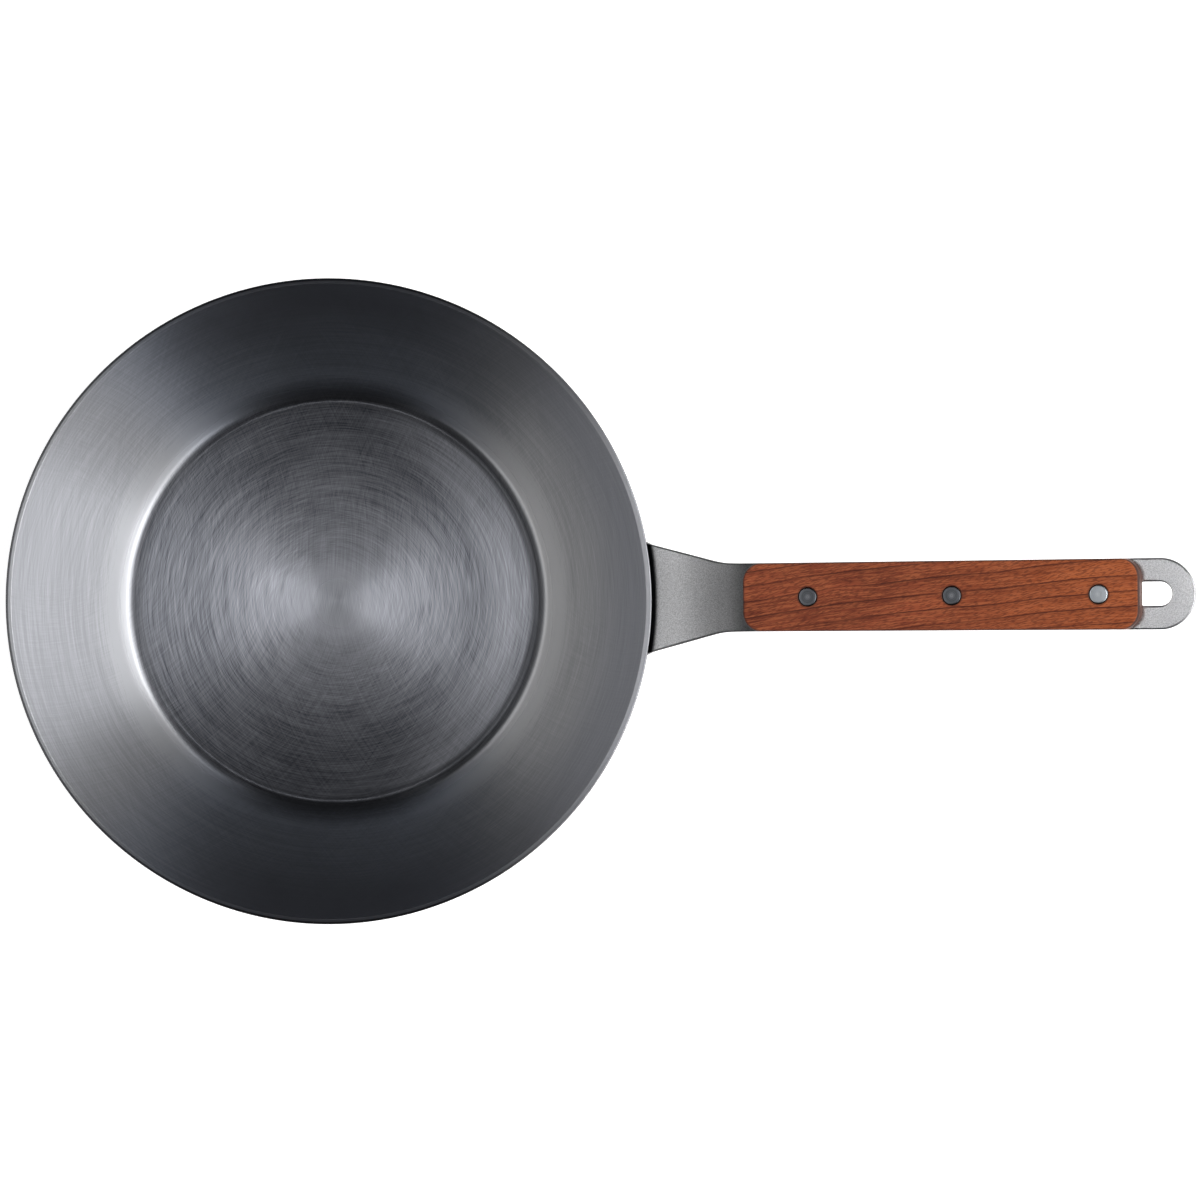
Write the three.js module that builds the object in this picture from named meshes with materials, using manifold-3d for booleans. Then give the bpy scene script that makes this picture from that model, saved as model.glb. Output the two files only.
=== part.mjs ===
// Carbon steel saute pan with a riveted wooden handle.
// Millimetres, +Z up. The origin is the centre of the base on the stove, and +X runs along the handle.

import * as THREE from 'three';
import { mergeVertices, toCreasedNormals } from 'three/addons/utils/BufferGeometryUtils.js';
import Module from 'manifold-3d';

const wasm = await Module();
wasm.setup();

const degrees = THREE.MathUtils.degToRad;

// Driving dimensions of the pan body, one sheet of carbon steel
const RIM_DIAMETER = 280;
const PAN_HEIGHT = 72.5;
const PAN_SHEET = 2.5;
const WALL_LEAN = degrees(29); // from the vertical
const FLOOR_FILLET = 9; // inside radius where the floor starts to turn up
const FILLET_TURN = degrees(40); // share of the turn that the fillet makes
const BELLY_RADIUS = 70; // inside radius of the rest of the turn, up to the straight wall
const RIM_ROUND = 0.6;

// Driving dimensions of the handle strip, one bent piece of stainless steel
const STRIP = 4; // thickness
const FLANGE_WIDTH = 51.5;
const FLANGE_LENGTH = 26; // straight part against the wall
const FLANGE_CORNER = 9;
const FLANGE_GAP = 0.3; // between the flange and the wall, bridged by the welds
const BEND_DROP = 4.8; // from the rim down to the corner of the bend
const BEND_RADIUS = 6; // inside radius
const NECK_RISE = degrees(10);
const NECK_LENGTH = 8.5; // straight part of the neck
const NECK_TAPER = 37.2; // length from the start of the bend over which the strip narrows to the tang
const NECK_BLEND = 1; // softness of the corner where the taper ends
const SWEEP_RADIUS = 230; // top face of the long curve from the neck up to the tang
const TANG_RISE = degrees(17);
const TANG_START_WIDTH = 29.5;
const TANG_END_WIDTH = 30.3;
const TANG_LENGTH = 198.2; // from the end of the sweep to the tip
const LOOP_REACH = 22.6; // bare steel behind the wood, to the tip
const SLOT_WIDTH = 10.1;
const SLOT_COVER = 4.1; // how far the slot runs on under the wood
const EDGE_BREAK = 0.8; // chamfer round the strip

// Driving dimensions of the spot welds
const WELD_DIAMETER = 5.5;
const WELD_CLEARANCE = 0.15;
const WELD_ROOT_GAP = 0.1; // from the weld to the wall
const WELD_DENT = 0.4; // depth of the electrode's mark
const WELD_SPACING_ACROSS = 24;
const WELD_SPACING_UP = 13;

// Driving dimensions of the wooden scales
const SCALE_THICKNESS = 7.5;
const SCALE_START = 2.8; // from the end of the sweep
const SCALE_CORNER = 8;
const SCALE_EDGE_ROUND = 1.2;
const SCALE_INSET = 0.1; // the steel stands this far proud of each side of the wood
const LOWER_SET_BACK = 4; // how much sooner the lower scale ends, so that the slot is clear from above
const SEAT_GAP = 0.15; // between the wood and the tang

// Driving dimensions of the rivets, each a post pressed into a sleeve
const RIVET_COUNT = 3;
const RIVET_FRONT_MARGIN = 28.9; // from the front of the wood to the first rivet
const RIVET_REAR_MARGIN = 17.4; // from the last rivet to the rear of the wood
const HEAD_DIAMETER = 7.8;
const HEAD_CLEARANCE = 0.3; // round the head in its pocket
const HEAD_DOME = 0.15;
const HEAD_DEPTH = 1.8; // of the pocket in the wood
const SLEEVE_DIAMETER = 5;
const POST_DIAMETER = 3.2;
const SLEEVE_END = 2; // thickness of solid metal under the sleeve's bore
const POST_END_GAP = 0.8; // between the post's tip and the end of the bore
const RIVET_CLEARANCE = 0.15;

// Facets
const RIM_FACETS = 96;
const ROUND_FACETS = 24;
const FILLET_FACETS = 6;
const BELLY_FACETS = 4;
const EDGE_FACETS = 3;
const BEND_FACETS = 8;
const NECK_FACETS = 16;
const CORNER_FACETS = 5;
const TIP_FACETS = 11;
const STRIP_COLUMNS = 8;
const CUT_MARGIN = 5; // how far a cutter runs past the face that it cuts
const WELD_TOLERANCE = 1e-4; // vertices closer than this are one
const CREASE = degrees(30); // a sharper edge than this is shown as an edge

const carbonSteel = new THREE.MeshStandardMaterial({ color: 0x5d6068, roughness: 0.38, metalness: 1 });
const stainlessSteel = new THREE.MeshStandardMaterial({ color: 0xb9b9bc, roughness: 0.42, metalness: 1 });
const rivetSteel = new THREE.MeshStandardMaterial({ color: 0x9aa0a6, roughness: 0.3, metalness: 1 });
const weldSteel = new THREE.MeshStandardMaterial({ color: 0x8d8a86, roughness: 0.55, metalness: 1 });
const wood = new THREE.MeshStandardMaterial({ color: 0x86472f, roughness: 0.55, metalness: 0 });

// Solids: a closed geometry as a manifold, and back
function toSolid(geometry) {
  const bare = new THREE.BufferGeometry().setAttribute('position', geometry.getAttribute('position'));
  if (geometry.index) bare.setIndex(geometry.index);
  const merged = mergeVertices(bare, WELD_TOLERANCE);
  return new wasm.Manifold(new wasm.Mesh({
    numProp: 3,
    vertProperties: merged.getAttribute('position').array,
    triVerts: new Uint32Array(merged.index.array),
  }));
}

function toGeometry(solid) {
  const mesh = solid.getMesh();
  const geometry = new THREE.BufferGeometry()
    .setAttribute('position', new THREE.BufferAttribute(mesh.vertProperties, 3))
    .setIndex(new THREE.BufferAttribute(mesh.triVerts, 1));
  return toCreasedNormals(geometry, CREASE);
}

function cut(geometry, cutters) {
  return toGeometry(cutters.reduce((solid, cutter) => solid.subtract(toSolid(cutter)), toSolid(geometry)));
}

function named(name, geometry, material) {
  const mesh = new THREE.Mesh(geometry, material);
  mesh.name = name;
  return mesh;
}

// Revolves [radius, height] points about Z
function revolve(points, facets) {
  const profile = points.map(([radius, height]) => new THREE.Vector2(radius, height));
  return new THREE.LatheGeometry(profile, facets).rotateX(Math.PI / 2);
}

function cylinder(radius, bottom, top) {
  return revolve([[0, bottom], [radius, bottom], [radius, top], [0, top]], ROUND_FACETS);
}

// Pan body: floor, fillet, belly, straight wall and a level rim, all one thickness
const RIM_RADIUS = RIM_DIAMETER / 2;
const WALL_RISE = Math.PI / 2 - WALL_LEAN; // from the horizontal
const outerRoundCentre = RIM_RADIUS - RIM_ROUND;
// The outer corner of the rim before it is rounded
const outerCorner = outerRoundCentre + (RIM_ROUND * (1 + Math.sin(WALL_LEAN))) / Math.cos(WALL_LEAN);
const innerCorner = outerCorner - PAN_SHEET / Math.cos(WALL_LEAN); // a level cut across the leaning sheet
const innerRoundCentre = innerCorner + (RIM_ROUND * (1 - Math.sin(WALL_LEAN))) / Math.cos(WALL_LEAN);
const turnRun =
  FLOOR_FILLET * Math.sin(FILLET_TURN) + BELLY_RADIUS * (Math.sin(WALL_RISE) - Math.sin(FILLET_TURN));
const turnHeight =
  FLOOR_FILLET * (1 - Math.cos(FILLET_TURN)) + BELLY_RADIUS * (Math.cos(FILLET_TURN) - Math.cos(WALL_RISE));
const wallRun = (PAN_HEIGHT - PAN_SHEET - turnHeight) * Math.tan(WALL_LEAN);
const FLOOR_RADIUS = innerCorner - turnRun - wallRun;

// Points on an arc. Its angles start straight down from the centre and turn outwards and up.
function arc(centre, radius, from, to, facets) {
  return Array.from({ length: facets + 1 }, (_, i) => {
    const angle = from + ((to - from) * i) / facets;
    return [centre.x + radius * Math.sin(angle), centre.y - radius * Math.cos(angle)];
  });
}

// The floor's turn up into the wall, at one face of the sheet
function turnPoints(offset) {
  const filletCentre = new THREE.Vector2(FLOOR_RADIUS, PAN_SHEET + FLOOR_FILLET);
  const inward = new THREE.Vector2(-Math.sin(FILLET_TURN), Math.cos(FILLET_TURN));
  const bellyCentre = filletCentre.clone().addScaledVector(inward, BELLY_RADIUS - FLOOR_FILLET);
  const fillet = arc(filletCentre, FLOOR_FILLET + offset, 0, FILLET_TURN, FILLET_FACETS);
  const belly = arc(bellyCentre, BELLY_RADIUS + offset, FILLET_TURN, WALL_RISE, BELLY_FACETS);
  return [...fillet, ...belly.slice(1)];
}

function panBody() {
  const outerRound = new THREE.Vector2(outerRoundCentre, PAN_HEIGHT - RIM_ROUND);
  const innerRound = new THREE.Vector2(innerRoundCentre, PAN_HEIGHT - RIM_ROUND);
  return revolve([
    [0, 0],
    ...turnPoints(PAN_SHEET),
    ...arc(outerRound, RIM_ROUND, WALL_RISE, Math.PI, EDGE_FACETS),
    ...arc(innerRound, RIM_ROUND, Math.PI, Math.PI + WALL_RISE, EDGE_FACETS),
    ...turnPoints(0).reverse(),
    [0, PAN_SHEET],
  ], RIM_FACETS);
}

// Handle strip: its side line starts at the foot of the flange, on the face that lies on the wall.
// That face becomes the top of the handle. Each run is straight, or turns evenly up (+) or down (-).
const bendTurn = WALL_RISE - NECK_RISE;
const sweepTurn = TANG_RISE - NECK_RISE;
const bendFaceRadius = BEND_RADIUS + STRIP;
const runs = [
  { length: FLANGE_LENGTH, turn: 0 },
  { length: bendFaceRadius * bendTurn, turn: -bendTurn },
  { length: NECK_LENGTH, turn: 0 },
  { length: SWEEP_RADIUS * sweepTurn, turn: sweepTurn },
  { length: TANG_LENGTH, turn: 0 },
];
const bendEnd = runs[0].length + runs[1].length;
const sweepStart = bendEnd + runs[2].length;
const sweepEnd = sweepStart + runs[3].length;
const tipCentre = sweepEnd + TANG_LENGTH - TANG_END_WIDTH / 2;

const bendCornerRadius = outerCorner - BEND_DROP * Math.tan(WALL_LEAN) + FLANGE_GAP / Math.cos(WALL_LEAN);
const belowCorner = FLANGE_LENGTH + bendFaceRadius * Math.tan(bendTurn / 2);
const flangeFoot = new THREE.Vector2(
  bendCornerRadius - belowCorner * Math.sin(WALL_LEAN),
  PAN_HEIGHT - BEND_DROP - belowCorner * Math.cos(WALL_LEAN),
);

// The place on the side line at a distance from its start, as a point [radius, height] and a heading
function sideLine(distance) {
  const point = flangeFoot.clone();
  let heading = WALL_RISE;
  let left = distance;
  for (const run of runs) {
    const step = Math.min(left, run.length);
    const turned = (run.turn * step) / run.length;
    const chord = turned === 0 ? step : (2 * step * Math.sin(turned / 2)) / turned;
    point.x += chord * Math.cos(heading + turned / 2);
    point.y += chord * Math.sin(heading + turned / 2);
    heading += turned;
    left -= step;
  }
  return { point, heading };
}

function tangHalfWidth(distance) {
  const share = THREE.MathUtils.clamp((distance - sweepEnd) / (tipCentre - sweepEnd), 0, 1);
  return THREE.MathUtils.lerp(TANG_START_WIDTH, TANG_END_WIDTH, share) / 2;
}

// Flange width, then a straight taper through the bend that runs softly into the tang
function stripHalfWidth(distance) {
  const taper = (FLANGE_WIDTH - TANG_START_WIDTH) / 2 / NECK_TAPER;
  const neck = FLANGE_WIDTH / 2 - taper * Math.max(0, distance - FLANGE_LENGTH);
  const tang = tangHalfWidth(distance);
  return (neck + tang + Math.hypot(neck - tang, NECK_BLEND)) / 2;
}

// Stations along the strip. Each gives the outline's place and half width, and those of the chamfered face.
function stripStations() {
  const plain = (distance) => {
    const half = stripHalfWidth(distance);
    return { edge: [distance, half], face: [distance, half - EDGE_BREAK] };
  };
  const stations = [];
  const shoulder = stripHalfWidth(FLANGE_CORNER) - FLANGE_CORNER;
  for (let i = 0; i < CORNER_FACETS; i++) {
    const turn = (Math.PI / 2) * (i / CORNER_FACETS);
    const onArc = (radius) => [FLANGE_CORNER - radius * Math.cos(turn), shoulder + radius * Math.sin(turn)];
    stations.push({ edge: onArc(FLANGE_CORNER), face: onArc(FLANGE_CORNER - EDGE_BREAK) });
  }
  stations.push(plain(FLANGE_CORNER));
  for (let i = 0; i <= BEND_FACETS; i++) {
    stations.push(plain(FLANGE_LENGTH + ((bendEnd - FLANGE_LENGTH) * i) / BEND_FACETS));
  }
  for (let i = 1; i <= NECK_FACETS; i++) {
    stations.push(plain(bendEnd + ((sweepEnd - bendEnd) * i) / NECK_FACETS));
  }
  for (let i = 0; i <= TIP_FACETS; i++) {
    const turn = ((Math.PI / 2) * i) / (TIP_FACETS + 0.5); // half a facet is left to each side of the tip
    const onArc = (radius) => [tipCentre + radius * Math.sin(turn), radius * Math.cos(turn)];
    stations.push({ edge: onArc(TANG_END_WIDTH / 2), face: onArc(TANG_END_WIDTH / 2 - EDGE_BREAK) });
  }
  return stations;
}

// A point of the strip: at a distance along, across the width and below its top face.
// The flange and the bend follow the round wall, and the neck flattens out by the end of its taper.
function stripPoint(distance, across, depth) {
  const { point, heading } = sideLine(distance);
  const radius = point.x + depth * Math.sin(heading);
  const height = point.y - depth * Math.cos(heading);
  const roundness = 1 - THREE.MathUtils.smoothstep(distance, bendEnd, FLANGE_LENGTH + NECK_TAPER);
  const sag = radius - Math.sqrt(radius * radius - across * across);
  return new THREE.Vector3(radius - roundness * sag, across, height);
}

// The two faces of the strip at one station, each a row of points from side to side
function stripRows({ edge, face }) {
  const row = (edgeDepth, faceDepth) => {
    const points = [stripPoint(edge[0], -edge[1], edgeDepth)];
    for (let i = 0; i <= STRIP_COLUMNS; i++) {
      points.push(stripPoint(face[0], face[1] * ((2 * i) / STRIP_COLUMNS - 1), faceDepth));
    }
    points.push(stripPoint(edge[0], edge[1], edgeDepth));
    return points;
  };
  return { top: row(EDGE_BREAK, 0), bottom: row(STRIP - EDGE_BREAK, STRIP) };
}

// Skins a run of stations, each with a top and a bottom row, into one closed strip
function skin(stations) {
  const columns = stations[0].top.length;
  const points = stations.flatMap(({ top, bottom }) => [...top, ...bottom]);
  const positions = points.flatMap((point) => point.toArray());
  const faces = [];
  const top = (station, column) => station * 2 * columns + column;
  const bottom = (station, column) => top(station, column) + columns;
  const quad = (a, b, c, d) => faces.push(a, b, c, a, c, d);
  const last = stations.length - 1;
  for (let s = 0; s < last; s++) {
    for (let c = 0; c < columns - 1; c++) {
      quad(top(s, c), top(s + 1, c), top(s + 1, c + 1), top(s, c + 1));
      quad(bottom(s, c), bottom(s, c + 1), bottom(s + 1, c + 1), bottom(s + 1, c));
    }
    quad(top(s, 0), bottom(s, 0), bottom(s + 1, 0), top(s + 1, 0));
    quad(top(s, columns - 1), top(s + 1, columns - 1), bottom(s + 1, columns - 1), bottom(s, columns - 1));
  }
  for (let c = 0; c < columns - 1; c++) {
    quad(top(0, c), top(0, c + 1), bottom(0, c + 1), bottom(0, c));
    quad(top(last, c), bottom(last, c), bottom(last, c + 1), top(last, c + 1));
  }
  return new THREE.BufferGeometry()
    .setAttribute('position', new THREE.Float32BufferAttribute(positions, 3))
    .setIndex(faces);
}

// The handle's own frame: X along the tang from the end of the sweep, Z up from its top face
const tangFrame = new THREE.Group();
const tangStart = sideLine(sweepEnd).point;
tangFrame.position.set(tangStart.x, 0, tangStart.y);
tangFrame.rotation.y = -TANG_RISE;
tangFrame.updateMatrix();

// The wood leaves the loop bare, and the rivets share out the wood between their margins
const scaleRear = TANG_LENGTH - LOOP_REACH;
const firstRivet = SCALE_START + RIVET_FRONT_MARGIN;
const rivetPitch = (scaleRear - RIVET_REAR_MARGIN - firstRivet) / (RIVET_COUNT - 1);
const rivetPlaces = Array.from({ length: RIVET_COUNT }, (_, i) => firstRivet + rivetPitch * i);
const rivetNames = ['front', 'middle', 'rear'];

// A weld's frame: Z out of the wall, with the flange's inner face at zero
function weldFrame(along, across) {
  const { point } = sideLine(along);
  const frame = new THREE.Group();
  const turn = across / point.x;
  frame.position.set(point.x * Math.cos(turn), point.x * Math.sin(turn), point.y);
  frame.rotation.set(0, Math.PI / 2 + WALL_LEAN, turn, 'ZYX');
  frame.updateMatrix();
  return frame;
}

const welds = [];
for (const [row, up] of [['lower', -1], ['upper', 1]]) {
  for (const [side, across] of [['right', -1], ['left', 1]]) {
    const along = FLANGE_LENGTH / 2 + (up * WELD_SPACING_UP) / 2;
    const frame = weldFrame(along, (across * WELD_SPACING_ACROSS) / 2);
    welds.push({ name: `spot_weld_${row}_${side}`, frame });
  }
}

// The hanging slot runs back under the wood from an end that is concentric with the tip
function slotCutter() {
  const end = tipCentre - sweepEnd;
  const start = scaleRear - SLOT_COVER + SLOT_WIDTH / 2;
  const outline = new THREE.Shape();
  outline.absarc(end, 0, SLOT_WIDTH / 2, -Math.PI / 2, Math.PI / 2);
  outline.absarc(start, 0, SLOT_WIDTH / 2, Math.PI / 2, (3 * Math.PI) / 2);
  return new THREE.ExtrudeGeometry(outline, {
    depth: STRIP + 2 * CUT_MARGIN,
    curveSegments: ROUND_FACETS / 2,
    bevelEnabled: false,
  }).translate(0, 0, -STRIP - CUT_MARGIN);
}

function handleTang() {
  const rivetHoles = rivetPlaces.map((x) =>
    cylinder(SLEEVE_DIAMETER / 2 + RIVET_CLEARANCE, -STRIP - CUT_MARGIN, CUT_MARGIN).translate(x, 0, 0));
  const tangCutters = [slotCutter(), ...rivetHoles].map((cutter) => cutter.applyMatrix4(tangFrame.matrix));
  const weldHoles = welds.map(({ frame }) =>
    cylinder(WELD_DIAMETER / 2 + WELD_CLEARANCE, -CUT_MARGIN, STRIP + CUT_MARGIN).applyMatrix4(frame.matrix));
  return cut(skin(stripStations().map(stripRows)), [...tangCutters, ...weldHoles]);
}

// Spot weld: the fused core that reaches through the flange to the wall, dished on the outside by the electrode
function spotWeld() {
  const radius = WELD_DIAMETER / 2;
  const root = WELD_ROOT_GAP - FLANGE_GAP;
  const points = [[0, root], [radius, root], [radius, STRIP]];
  for (let i = 1; i <= EDGE_FACETS; i++) {
    const share = i / EDGE_FACETS;
    points.push([radius * (1 - share), STRIP - WELD_DENT * Math.sin((share * Math.PI) / 2)]);
  }
  return revolve(points, ROUND_FACETS);
}

// Wooden scale: flat on the tang, with round corners, a rounded outer edge and a pocket for each rivet head
function woodenScale(rear) {
  const half = (x) => tangHalfWidth(sweepEnd + x) - SCALE_INSET;
  const [frontHalf, rearHalf] = [half(SCALE_START), half(rear)];
  const outline = new THREE.Shape();
  const corner = (x, y, from) => outline.absarc(x, y, SCALE_CORNER, from, from + Math.PI / 2);
  corner(rear - SCALE_CORNER, SCALE_CORNER - rearHalf, -Math.PI / 2);
  corner(rear - SCALE_CORNER, rearHalf - SCALE_CORNER, 0);
  corner(SCALE_START + SCALE_CORNER, frontHalf - SCALE_CORNER, Math.PI / 2);
  corner(SCALE_START + SCALE_CORNER, SCALE_CORNER - frontHalf, Math.PI);
  const blank = new THREE.ExtrudeGeometry(outline, {
    depth: SCALE_THICKNESS - SCALE_EDGE_ROUND,
    curveSegments: CORNER_FACETS,
    bevelThickness: SCALE_EDGE_ROUND,
    bevelSize: SCALE_EDGE_ROUND,
    bevelOffset: -SCALE_EDGE_ROUND,
    bevelSegments: EDGE_FACETS,
  });
  const belowSeat = new THREE.BoxGeometry(2 * TANG_LENGTH, 2 * TANG_END_WIDTH, 2 * CUT_MARGIN)
    .translate(0, 0, -CUT_MARGIN);
  const holes = rivetPlaces.flatMap((x) => [
    cylinder(SLEEVE_DIAMETER / 2 + RIVET_CLEARANCE, -CUT_MARGIN, SCALE_THICKNESS).translate(x, 0, 0),
    cylinder(HEAD_DIAMETER / 2 + HEAD_CLEARANCE, SCALE_THICKNESS - HEAD_DEPTH, SCALE_THICKNESS + CUT_MARGIN)
      .translate(x, 0, 0),
  ]);
  return cut(blank, [belowSeat, ...holes]);
}

// Rivet head: flush with the wood at its edge and slightly domed. It runs from its dome in to the shank.
const scaleFace = SEAT_GAP + SCALE_THICKNESS; // outer face of the upper scale, above the tang's top
const stackMiddle = -STRIP / 2;
const headSeat = scaleFace - HEAD_DEPTH + RIVET_CLEARANCE;

function headPoints(shankRadius) {
  const radius = HEAD_DIAMETER / 2;
  const points = [[shankRadius, headSeat], [radius, headSeat], [radius, scaleFace]];
  for (let i = 1; i <= EDGE_FACETS; i++) {
    const share = i / EDGE_FACETS;
    points.push([radius * (1 - share), scaleFace + HEAD_DOME * (1 - (1 - share) ** 2)]);
  }
  return points;
}

// Both rivet halves are drawn head up, about the middle of the stack
const boreEnd = 2 * stackMiddle - scaleFace + SLEEVE_END;

function rivetPost() {
  const radius = POST_DIAMETER / 2;
  const tip = boreEnd + POST_END_GAP;
  return revolve([[0, tip], [radius, tip], ...headPoints(radius)], ROUND_FACETS);
}

function rivetSleeve() {
  const radius = SLEEVE_DIAMETER / 2;
  const bore = POST_DIAMETER / 2 + RIVET_CLEARANCE;
  const mouth = 2 * stackMiddle - headSeat + RIVET_CLEARANCE;
  const end = 2 * stackMiddle - boreEnd;
  return revolve([[0, end], [bore, end], [bore, mouth], [radius, mouth], ...headPoints(radius)], ROUND_FACETS);
}

// Assembly
const pan = new THREE.Group();
pan.add(named('pan_body', panBody(), carbonSteel));
pan.add(named('handle_tang', handleTang(), stainlessSteel));

for (const { name, frame } of welds) {
  frame.add(named(name, spotWeld(), weldSteel));
  pan.add(frame);
}

// The lower half of the handle is the upper half turned over about the middle of the tang
const lowerHalf = new THREE.Group();
lowerHalf.position.z = 2 * stackMiddle;
lowerHalf.rotation.x = Math.PI;
tangFrame.add(lowerHalf);

const upperScale = named('upper_scale', woodenScale(scaleRear), wood);
const lowerScale = named('lower_scale', woodenScale(scaleRear - LOWER_SET_BACK), wood);
upperScale.position.z = SEAT_GAP;
lowerScale.position.z = SEAT_GAP;
tangFrame.add(upperScale);
lowerHalf.add(lowerScale);

rivetPlaces.forEach((x, i) => {
  const place = rivetNames[i] ?? i + 1;
  const post = named(`rivet_post_${place}`, rivetPost(), rivetSteel);
  const sleeve = named(`rivet_sleeve_${place}`, rivetSleeve(), rivetSteel);
  post.position.x = x;
  sleeve.position.x = x;
  tangFrame.add(post);
  lowerHalf.add(sleeve);
});
pan.add(tangFrame);

export default pan;
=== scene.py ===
# %% [markdown]
# # A carbon steel saute pan with a riveted wooden handle
#
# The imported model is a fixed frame: every piece at its real size and place, in metres, with +Z up and +X
# along the handle. This lesson makes a finer mesh and a finish for each piece, then lights the pan as in
# its photograph.

# %% Load the frame
import math

import bmesh
import bpy
from mathutils import Matrix, Vector


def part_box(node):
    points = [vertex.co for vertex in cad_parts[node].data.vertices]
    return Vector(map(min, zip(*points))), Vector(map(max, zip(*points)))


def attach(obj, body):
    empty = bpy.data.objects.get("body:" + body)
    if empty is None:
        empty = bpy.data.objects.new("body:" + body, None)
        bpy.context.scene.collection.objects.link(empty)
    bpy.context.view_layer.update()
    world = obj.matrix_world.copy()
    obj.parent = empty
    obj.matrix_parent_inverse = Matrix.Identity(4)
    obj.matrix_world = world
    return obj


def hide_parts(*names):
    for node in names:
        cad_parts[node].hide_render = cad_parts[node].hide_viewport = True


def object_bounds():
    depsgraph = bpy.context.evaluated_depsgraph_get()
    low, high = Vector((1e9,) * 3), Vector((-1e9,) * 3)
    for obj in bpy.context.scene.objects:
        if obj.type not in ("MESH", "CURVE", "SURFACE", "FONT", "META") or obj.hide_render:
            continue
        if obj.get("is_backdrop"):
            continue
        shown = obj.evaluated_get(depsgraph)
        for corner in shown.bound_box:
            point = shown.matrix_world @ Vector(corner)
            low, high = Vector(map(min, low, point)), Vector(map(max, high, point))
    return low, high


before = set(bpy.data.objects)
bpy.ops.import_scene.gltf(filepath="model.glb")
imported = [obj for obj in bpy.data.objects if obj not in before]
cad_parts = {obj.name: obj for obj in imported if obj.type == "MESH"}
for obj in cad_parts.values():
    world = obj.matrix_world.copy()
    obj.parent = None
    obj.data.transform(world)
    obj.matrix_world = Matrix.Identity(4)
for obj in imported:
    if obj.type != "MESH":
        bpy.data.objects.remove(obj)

MM = 0.001
scene = bpy.context.scene
cad_low, cad_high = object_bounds()
print("CAD nodes:", ", ".join(sorted(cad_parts)))
print("CAD box in mm:", [round(side / MM, 1) for side in cad_high - cad_low])

# %% [markdown]
# ## The camera
#
# The photograph looks straight down from a good distance, so the rim is a true circle. The floor of the
# pan is further away than the rim, which makes it a little smaller and shifts it towards the middle of
# the picture. A long lens at the right height gives the same shift. The handle points a trifle upwards,
# so the camera is turned by that.

# %% Camera
CAMERA_HEIGHT = 2.1  # above the rim
PICTURE_CENTRE = (117.55 * MM, -0.53 * MM)
PICTURE_WIDTH = 519.8 * MM  # across the plane of the rim
HANDLE_TURN = math.radians(0.52)

_, rim_radius, rim_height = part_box("pan_body")[1]
camera = bpy.data.objects.new("camera", bpy.data.cameras.new("camera"))
camera.location = (*PICTURE_CENTRE, rim_height + CAMERA_HEIGHT)
camera.rotation_euler = (0, 0, -HANDLE_TURN)
camera.data.lens = camera.data.sensor_width * CAMERA_HEIGHT / PICTURE_WIDTH
scene.collection.objects.link(camera)
scene.camera = camera
print(f"Camera {camera.location.z:.3f} m above the floor, lens {camera.data.lens:.1f} mm")

# %% [markdown]
# ## Helpers for meshes
#
# Almost every piece here is one of three kinds: a shape turned on a lathe, a flat blank with rounded
# edges and holes, or a strip that is blanked flat and then bent. A short function for each keeps the
# meshes closed and the code readable, where a Screw or Bevel modifier would hide the sizes in its
# settings.

# %% Arcs, lathe and tunnels
def arc(centre, radius, start, end, steps):
    """Points on an arc. Its angles start straight down from the centre and turn outwards and up."""
    angles = [start + (end - start) * i / steps for i in range(steps + 1)]
    return [(centre[0] + radius * math.sin(a), centre[1] - radius * math.cos(a)) for a in angles]


def join_loops(bm, first, second):
    """Quads between two closed loops of equally many vertices."""
    for i in range(len(first)):
        bm.faces.new((first[i - 1], first[i], second[i], second[i - 1]))


def loop_edges(bm, loop):
    """The edges round a closed loop of vertices."""
    return [bm.edges.get((loop[i - 1], loop[i])) for i in range(len(loop))]


def lathe(profile, segments):
    """Turns (radius, height) points about Z. The profile starts and ends on the axis."""
    bm = bmesh.new()
    turns = [math.tau * i / segments for i in range(segments)]
    rings = [
        [bm.verts.new((r * math.cos(turn), r * math.sin(turn), z)) for turn in turns]
        for r, z in profile[1:-1]
    ]
    for first, second in zip(rings, rings[1:]):
        join_loops(bm, first, second)
    for ring, (_, z) in ((rings[0], profile[0]), (rings[-1], profile[-1])):
        pole = bm.verts.new((0, 0, z))
        for i in range(segments):
            bm.faces.new((ring[i - 1], ring[i], pole))
    return bm


def tunnel(bm, outline, profile):
    """Skins a wall round a closed outline. outline(growth) gives its points, and the profile's
    (growth, depth) pairs run from the top face to the bottom face. Returns the edges of the first and
    the last loop."""
    loops = [
        [bm.verts.new((x, y, -depth)) for x, y in outline(growth)] for growth, depth in profile
    ]
    for first, second in zip(loops, loops[1:]):
        join_loops(bm, first, second)
    return loop_edges(bm, loops[0]), loop_edges(bm, loops[-1])


def rounded_edge(radius, steps):
    """A quarter round from a flat face over to a side, as (inset, depth) pairs."""
    angles = [math.pi / 2 * i / steps for i in range(steps + 1)]
    return [(radius * (1 - math.sin(a)), radius * (1 - math.cos(a))) for a in angles]


def circle(centre, radius, segments):
    """An outline for tunnel(): a circle that grows outwards."""
    turns = [math.tau * i / segments for i in range(segments)]
    return lambda growth: [
        (centre + (radius + growth) * math.cos(t), (radius + growth) * math.sin(t)) for t in turns
    ]


# %% [markdown]
# Every piece ends the same way. Weighted normals let a large flat face keep its own normal right up to a
# rounded edge, so the edge alone catches the light. The piece then rides on the only body of the frame
# and stands for its CAD node.

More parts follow.
